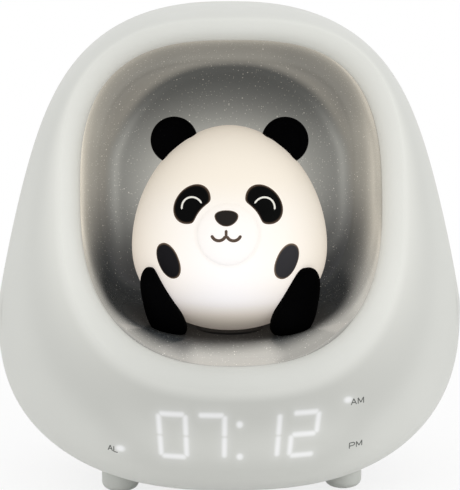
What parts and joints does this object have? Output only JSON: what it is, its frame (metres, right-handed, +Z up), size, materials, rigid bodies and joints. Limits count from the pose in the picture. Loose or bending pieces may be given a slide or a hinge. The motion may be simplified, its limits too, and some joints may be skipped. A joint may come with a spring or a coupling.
{
  "type": "kids alarm clock with night light",
  "caption": "Egg-shaped hooded bedside alarm clock with a hidden chin display and a glowing panda lamp in its cave.",
  "frame": {"origin": "on the table under the middle of the clock", "axes": "+Z up, -Y towards the viewer (the display and cave side), +X to the viewer's right"},
  "size_m": [0.146, 0.1032, 0.1515],
  "materials": {
    "housing": "fine satin moulding, off-white",
    "liner": "glossy dark grey with fine pale specks",
    "panel": "fine texture, off-white",
    "foot": "soft pale grey plug",
    "key": "satin off-white",
    "slider": "ribbed dark grey",
    "panda_white": "translucent white silicone, lit from inside",
    "panda_black": "matt black silicone",
    "dark_plastic": "moulded black",
    "frame_plastic": "plain grey moulding",
    "diffuser": "milky film",
    "board": "green solder mask",
    "lamp_board": "white solder mask",
    "led": "LED packages",
    "light_pipe": "clear rods",
    "chip": "moulded component bodies",
    "steel": "plated steel",
    "magnet": "plated ferrite",
    "cone": "pressed speaker cone"
  },
  "bodies": {
    "case": {"front_housing": "housing", "rear_housing": "housing", "cavity_liner": "liner", "rear_panel": "panel", "panel_screws": "steel", "front_left_foot": "foot", "front_right_foot": "foot", "rear_left_foot": "foot", "rear_right_foot": "foot", "display_diffuser": "diffuser", "display_mask": "dark_plastic", "display_board": "board", "display_leds": "led", "display_screws": "steel", "indicator_pipes": "light_pipe", "lamp_seat": "dark_plastic", "lamp_board": "lamp_board", "lamp_leds": "led", "lamp_screws": "steel", "panda_body": "panda_white", "panda_left_ear": "panda_black", "panda_right_ear": "panda_black", "panda_left_leg": "panda_black", "panda_right_leg": "panda_black", "chassis": "frame_plastic", "chassis_screws": "steel", "main_board": "board", "board_screws": "steel", "controller_chip": "chip", "tact_switches": "chip", "slide_switch": "steel", "usb_socket": "steel", "cell_holder": "dark_plastic", "coin_cell": "steel", "speaker_frame": "dark_plastic", "speaker_magnet": "magnet", "speaker_cone": "cone"},
    "lamp_key": {"lamp_key": "key"},
    "set_key": {"set_key": "key"},
    "alarm_key": {"alarm_key": "key"},
    "minus_key": {"minus_key": "key"},
    "plus_key": {"plus_key": "key"},
    "sound_key": {"sound_key": "key"},
    "alarm_slider": {"alarm_slider": "slider"},
    "cell_cover": {"cell_cover": "panel"}
  },
  "joints": [
    {"name": "lamp_key_press", "type": "slide", "parent": "case", "child": "lamp_key", "axis": [0, -1, 0], "range_m": [0, 0.0008], "stiffness_N_per_m": 600},
    {"name": "set_key_press", "type": "slide", "parent": "case", "child": "set_key", "axis": [0, -1, 0], "range_m": [0, 0.0008], "stiffness_N_per_m": 400},
    {"name": "alarm_key_press", "type": "slide", "parent": "case", "child": "alarm_key", "axis": [0, -1, 0], "range_m": [0, 0.0008], "stiffness_N_per_m": 400},
    {"name": "minus_key_press", "type": "slide", "parent": "case", "child": "minus_key", "axis": [0, -1, 0], "range_m": [0, 0.0008], "stiffness_N_per_m": 400},
    {"name": "plus_key_press", "type": "slide", "parent": "case", "child": "plus_key", "axis": [0, -1, 0], "range_m": [0, 0.0008], "stiffness_N_per_m": 400},
    {"name": "sound_key_press", "type": "slide", "parent": "case", "child": "sound_key", "axis": [0, -1, 0], "range_m": [0, 0.0008], "stiffness_N_per_m": 400},
    {"name": "alarm_slide", "type": "slide", "parent": "case", "child": "alarm_slider", "axis": [1, 0, 0], "range_m": [0, 0.004]},
    {"name": "cell_cover_turn", "type": "hinge", "parent": "case", "child": "cell_cover", "pos_m": [-0.02, 0.04917, 0.064], "axis": [0, 1, 0], "range_deg": [0, 60]}
  ]
}
